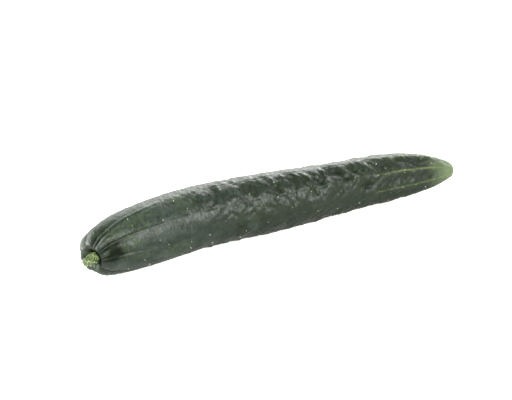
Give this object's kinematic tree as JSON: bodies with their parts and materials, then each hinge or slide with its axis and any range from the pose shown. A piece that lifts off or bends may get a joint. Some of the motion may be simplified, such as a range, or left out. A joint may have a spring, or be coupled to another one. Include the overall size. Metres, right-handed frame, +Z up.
{
  "type": "japanese cucumber",
  "caption": "Slightly bent, tapering cucumber with a puckered stem end, lumpy skin, short spines and a cut stem stub, lying on its belly.",
  "frame": {"origin": "middle of the small flat spot on the belly that the fruit rests on", "axes": "+X along the fruit from its stem end to its blossom end, +Z up"},
  "size_m": [0.2186, 0.0428, 0.0347],
  "materials": {
    "skin": "satin",
    "stalk": "matte"
  },
  "bodies": {
    "root": {"fruit": "skin", "stem": "stalk"}
  },
  "joints": []
}
